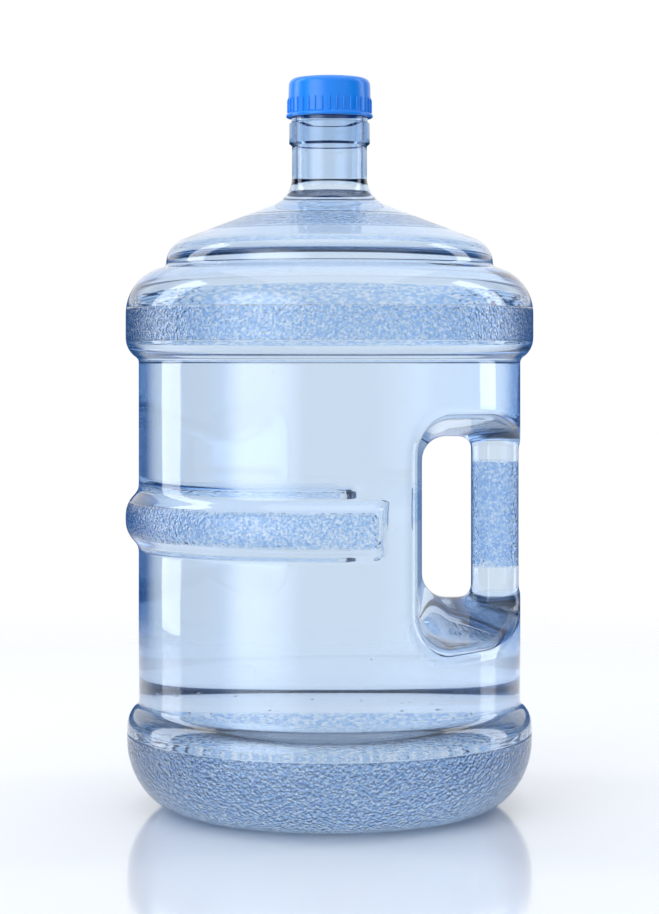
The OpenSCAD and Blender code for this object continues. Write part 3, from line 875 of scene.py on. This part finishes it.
def mouldedMaterial(name, light, dark, roughness, spread, bumpHeight, cloudSize, speckleSize):
    material = bpy.data.materials.new(name)
    material.use_nodes = True
    tree = material.node_tree
    shader = tree.nodes["Principled BSDF"]
    vary = addNode(tree, "ShaderNodeGroup", node_tree=surfaceVariation)
    vary.inputs["Cloud size"].default_value = cloudSize
    vary.inputs["Speckle size"].default_value = speckleSize
    tint = addNode(tree, "ShaderNodeMix", data_type="RGBA")
    tree.links.new(vary.outputs["Cloud"], tint.inputs["Factor"])
    tint.inputs[6].default_value = (*dark, 1)
    tint.inputs[7].default_value = (*light, 1)
    tree.links.new(tint.outputs[2], shader.inputs["Base Color"])
    rough = mathNode(tree, "MULTIPLY_ADD", vary.outputs["Speckle"], spread, roughness - spread / 2)
    tree.links.new(rough, shader.inputs["Roughness"])
    bump = addNode(tree, "ShaderNodeBump")
    bump.inputs["Distance"].default_value = 1
    tree.links.new(mathNode(tree, "MULTIPLY", vary.outputs["Speckle"], bumpHeight), bump.inputs["Height"])
    tree.links.new(bump.outputs[0], shader.inputs["Normal"])
    return material, shader


def capMaterial():
    material, shader = mouldedMaterial("blueCapPlastic", (0.001, 0.255, 0.84), (0.001, 0.205, 0.75),
                                       0.30, 0.10, 0.00004, 0.014, 0.0007)
    shader.inputs["Coat Weight"].default_value = 0.15
    shader.inputs["Coat Roughness"].default_value = 0.12
    return material


def linerMaterial():
    material, shader = mouldedMaterial("linerFoam", (0.90, 0.91, 0.91), (0.80, 0.82, 0.82),
                                       0.72, 0.2, 0.00006, 0.008, 0.0004)
    return material


def bubbleMaterial():                         # air inside water
    material = bpy.data.materials.new("airBubble")
    material.use_nodes = True
    shader = material.node_tree.nodes["Principled BSDF"]
    shader.inputs["Roughness"].default_value = 0
    shader.inputs["IOR"].default_value = 0.75
    shader.inputs["Transmission Weight"].default_value = 1
    return material


capPlastic = capMaterial()
capRibs = grow("capRibs", makeRibTree(), {
    "Rib count": cap["ribs"], "Ring radius": cap["ribRing"] * mm, "Rib width": cap["ribW"] * mm,
    "Rib foot": (capLow[2] + cap["ribFoot"]) * mm, "Rib top": (capLow[2] + cap["ribTop"]) * mm,
    "Material": capPlastic})
airBubbles = grow("airBubbles", makeBubbleTree(), {
    "Smallest": bubbles["smallest"], "Largest": bubbles["largest"], "Seed": bubbles["sizeSeed"],
    "Material": bubbleMaterial()}, bubblePlaces())
print("cap ribs:", len(capRibs.data.polygons), "faces, bubbles:", len(airBubbles.data.polygons), "faces")
bottleShell.data.materials.append(plasticMaterial())
waterBody.data.materials.append(waterMaterial())
capShell.data.materials.append(capPlastic)
linerDisc.data.materials.append(linerMaterial())

for piece, body, slot in (
        (bottleShell, "jug", "bottle_plastic"), (waterBody, "jug", "water"), (airBubbles, "jug", "water"),
        (capShell, "cap", "cap_plastic"), (capRibs, "cap", "cap_plastic"),
        (linerDisc, "liner", "liner_foam")):
    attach(piece, body)
for piece, node in ((bottleShell, "bottle"), (waterBody, "water"), (capShell, "screw_cap"),
                    (linerDisc, "cap_liner")):
    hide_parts(node)


studio = {
    "cameraAway": 1.577, "cameraHeight": 0.301, "lens": 62.3, "sensor": 24, "shift": -0.116,
    "floorSolid": 0.55, "floorFade": 1.3, "floorSpokes": 96,
    "floorColour": (0.93, 0.94, 0.96), "floorRough": 0.10, "floorIor": 1.9,
    # light of the room by direction: behind the jug, beside it, in front and above
    "back": (1.0, 1.0, 1.0), "gap": (0.02, 0.10, 0.30), "front": (0.62, 0.70, 0.82),
    "top": (0.80, 0.85, 0.92),
    "backFrom": (0.60, 0.80), "frontFrom": (-0.35, -0.65), "topFrom": (0.35, 0.75),  # where each starts
    "cardTop": (0.10, 0.06), "cardBehind": (0.0, 0.3),
    "glowFrom": (-0.72, -0.66, 0.18), "glowSpread": (0.80, 0.99), "glowStrength": 3.5,
    "softboxAway": 1.1, "softboxTurn": 14,    # degrees behind the jug's sides
    "softboxHeight": 0.75, "leftSize": (0.36, 1.5), "rightSize": (0.30, 1.5),
    "softboxPower": 5, "rightShare": 0.8,
    "topPlace": (0, 0.2, 2.2), "topSize": (1.8, 1.8), "topPower": 7,
    "bounces": 32,         # light crosses many walls here
}


def makeWorld():
    s = studio
    world = bpy.data.worlds.new("studio")
    bpy.context.scene.world = world
    world.use_nodes = True
    tree = world.node_tree
    tree.nodes.clear()
    place = addNode(tree, "ShaderNodeTexCoord")
    split = addNode(tree, "ShaderNodeSeparateXYZ")
    tree.links.new(place.outputs["Generated"], split.inputs[0])
    x, y, z = split.outputs
    flat = mathNode(tree, "SQRT", mathNode(tree, "ADD", mathNode(tree, "MULTIPLY", x, x),
                                           mathNode(tree, "MULTIPLY", y, y)))
    towards = mathNode(tree, "DIVIDE", y, mathNode(tree, "MAXIMUM", flat, 0.001))

    def ramp(value, span):
        low, high = span
        node = addNode(tree, "ShaderNodeMapRange", interpolation_type="SMOOTHSTEP")
        tree.links.new(value, node.inputs["Value"])
        node.inputs["From Min"].default_value = low
        node.inputs["From Max"].default_value = high
        return node.outputs[0]

    def blend(share, a, b):
        node = addNode(tree, "ShaderNodeMix", data_type="RGBA")
        tree.links.new(share, node.inputs["Factor"])
        for slot, value in ((6, a), (7, b)):
            if isinstance(value, tuple):
                node.inputs[slot].default_value = (*value, 1)
            else:
                tree.links.new(value, node.inputs[slot])
        return node.outputs[2]

    colour = blend(ramp(towards, s["backFrom"]), s["gap"], s["back"])
    colour = blend(ramp(towards, s["frontFrom"]), colour, s["front"])
    colour = blend(ramp(z, s["topFrom"]), colour, s["top"])
    # dark cards beside the back, seen only in the first reflection off the jug's sides
    path = addNode(tree, "ShaderNodeLightPath")
    crossed = mathNode(tree, "MINIMUM", path.outputs["Transmission Depth"], 1.0)
    uncrossed = mathNode(tree, "SUBTRACT", 1.0, crossed)
    card = mathNode(tree, "MULTIPLY", path.outputs["Is Glossy Ray"], uncrossed)
    reach = mathNode(tree, "MULTIPLY", ramp(z, s["cardTop"]), ramp(towards, s["cardBehind"]))
    card = mathNode(tree, "MULTIPLY", card, reach)
    colour = blend(card, colour, s["gap"])
    aim = addNode(tree, "ShaderNodeVectorMath", operation="DOT_PRODUCT")
    tree.links.new(place.outputs["Generated"], aim.inputs[0])
    aim.inputs[1].default_value = Vector(s["glowFrom"]).normalized()
    glow = mathNode(tree, "MULTIPLY", ramp(aim.outputs["Value"], s["glowSpread"]), s["glowStrength"])
    light = addNode(tree, "ShaderNodeBackground")
    tree.links.new(colour, light.inputs["Color"])
    tree.links.new(mathNode(tree, "ADD", glow, 1.0), light.inputs["Strength"])
    plain = addNode(tree, "ShaderNodeBackground")
    plain.inputs["Color"].default_value = (1, 1, 1, 1)
    mix = addNode(tree, "ShaderNodeMixShader")
    out = addNode(tree, "ShaderNodeOutputWorld")
    tree.links.new(path.outputs["Is Camera Ray"], mix.inputs[0])
    tree.links.new(light.outputs[0], mix.inputs[1])
    tree.links.new(plain.outputs[0], mix.inputs[2])
    tree.links.new(mix.outputs[0], out.inputs["Surface"])


def makeFloor():                              # a white disc that fades out into the white of the room
    s = studio
    count = s["floorSpokes"]
    ring = [(s["floorFade"] * math.cos(a), s["floorFade"] * math.sin(a), 0)
            for a in np.arange(count) * 2 * math.pi / count]
    mesh = bpy.data.meshes.new("floor")
    mesh.from_pydata(ring, [], [tuple(range(count))])
    floor = bpy.data.objects.new("floor", mesh)
    bpy.context.scene.collection.objects.link(floor)
    material = bpy.data.materials.new("whiteFloor")
    material.use_nodes = True
    tree = material.node_tree
    shader = tree.nodes["Principled BSDF"]
    shader.inputs["Base Color"].default_value = (*s["floorColour"], 1)
    shader.inputs["Roughness"].default_value = s["floorRough"]
    shader.inputs["IOR"].default_value = s["floorIor"]
    place = addNode(tree, "ShaderNodeTexCoord")
    length = addNode(tree, "ShaderNodeVectorMath", operation="LENGTH")
    tree.links.new(place.outputs["Object"], length.inputs[0])
    fade = addNode(tree, "ShaderNodeMapRange", interpolation_type="SMOOTHERSTEP")
    tree.links.new(length.outputs["Value"], fade.inputs["Value"])
    fade.inputs["From Min"].default_value = s["floorFade"]
    fade.inputs["From Max"].default_value = s["floorSolid"]
    tree.links.new(fade.outputs[0], shader.inputs["Alpha"])
    mesh.materials.append(material)


def addSoftbox(name, place, target, size, power):
    light = bpy.data.lights.new(name, "AREA")
    light.shape = "RECTANGLE"
    light.size, light.size_y = size
    light.energy = power
    lamp = bpy.data.objects.new(name, light)
    lamp.location = place
    aim = Vector(target) - Vector(place)
    lamp.rotation_euler = aim.to_track_quat("-Z", "Y").to_euler()
    lamp.visible_camera = False
    bpy.context.scene.collection.objects.link(lamp)


def makeLights():
    s = studio
    turn = math.radians(s["softboxTurn"])
    side, behind = s["softboxAway"] * math.cos(turn), s["softboxAway"] * math.sin(turn)
    up, power = s["softboxHeight"], s["softboxPower"]
    addSoftbox("leftSoftbox", (-side, behind, up), (0, 0, up), s["leftSize"], power)
    addSoftbox("rightSoftbox", (side, behind, up), (0, 0, up), s["rightSize"], power * s["rightShare"])
    addSoftbox("topSoftbox", s["topPlace"], (0, 0, 0), s["topSize"], s["topPower"])


def makeCamera():
    s = studio
    eye = bpy.data.cameras.new("camera")
    eye.sensor_fit = "VERTICAL"
    eye.sensor_height = s["sensor"]
    eye.lens = s["lens"]
    eye.shift_y = s["shift"]
    camera = bpy.data.objects.new("camera", eye)
    camera.location = (0, -s["cameraAway"], s["cameraHeight"])
    camera.rotation_euler = (math.radians(90), 0, 0)
    bpy.context.scene.collection.objects.link(camera)
    bpy.context.scene.camera = camera
    bpy.context.scene.view_settings.view_transform = "Standard"
    bpy.context.scene.cycles.max_bounces = s["bounces"]
    bpy.context.scene.cycles.transmission_bounces = s["bounces"]


makeWorld()
makeFloor()
makeLights()
makeCamera()
print("studio ready")
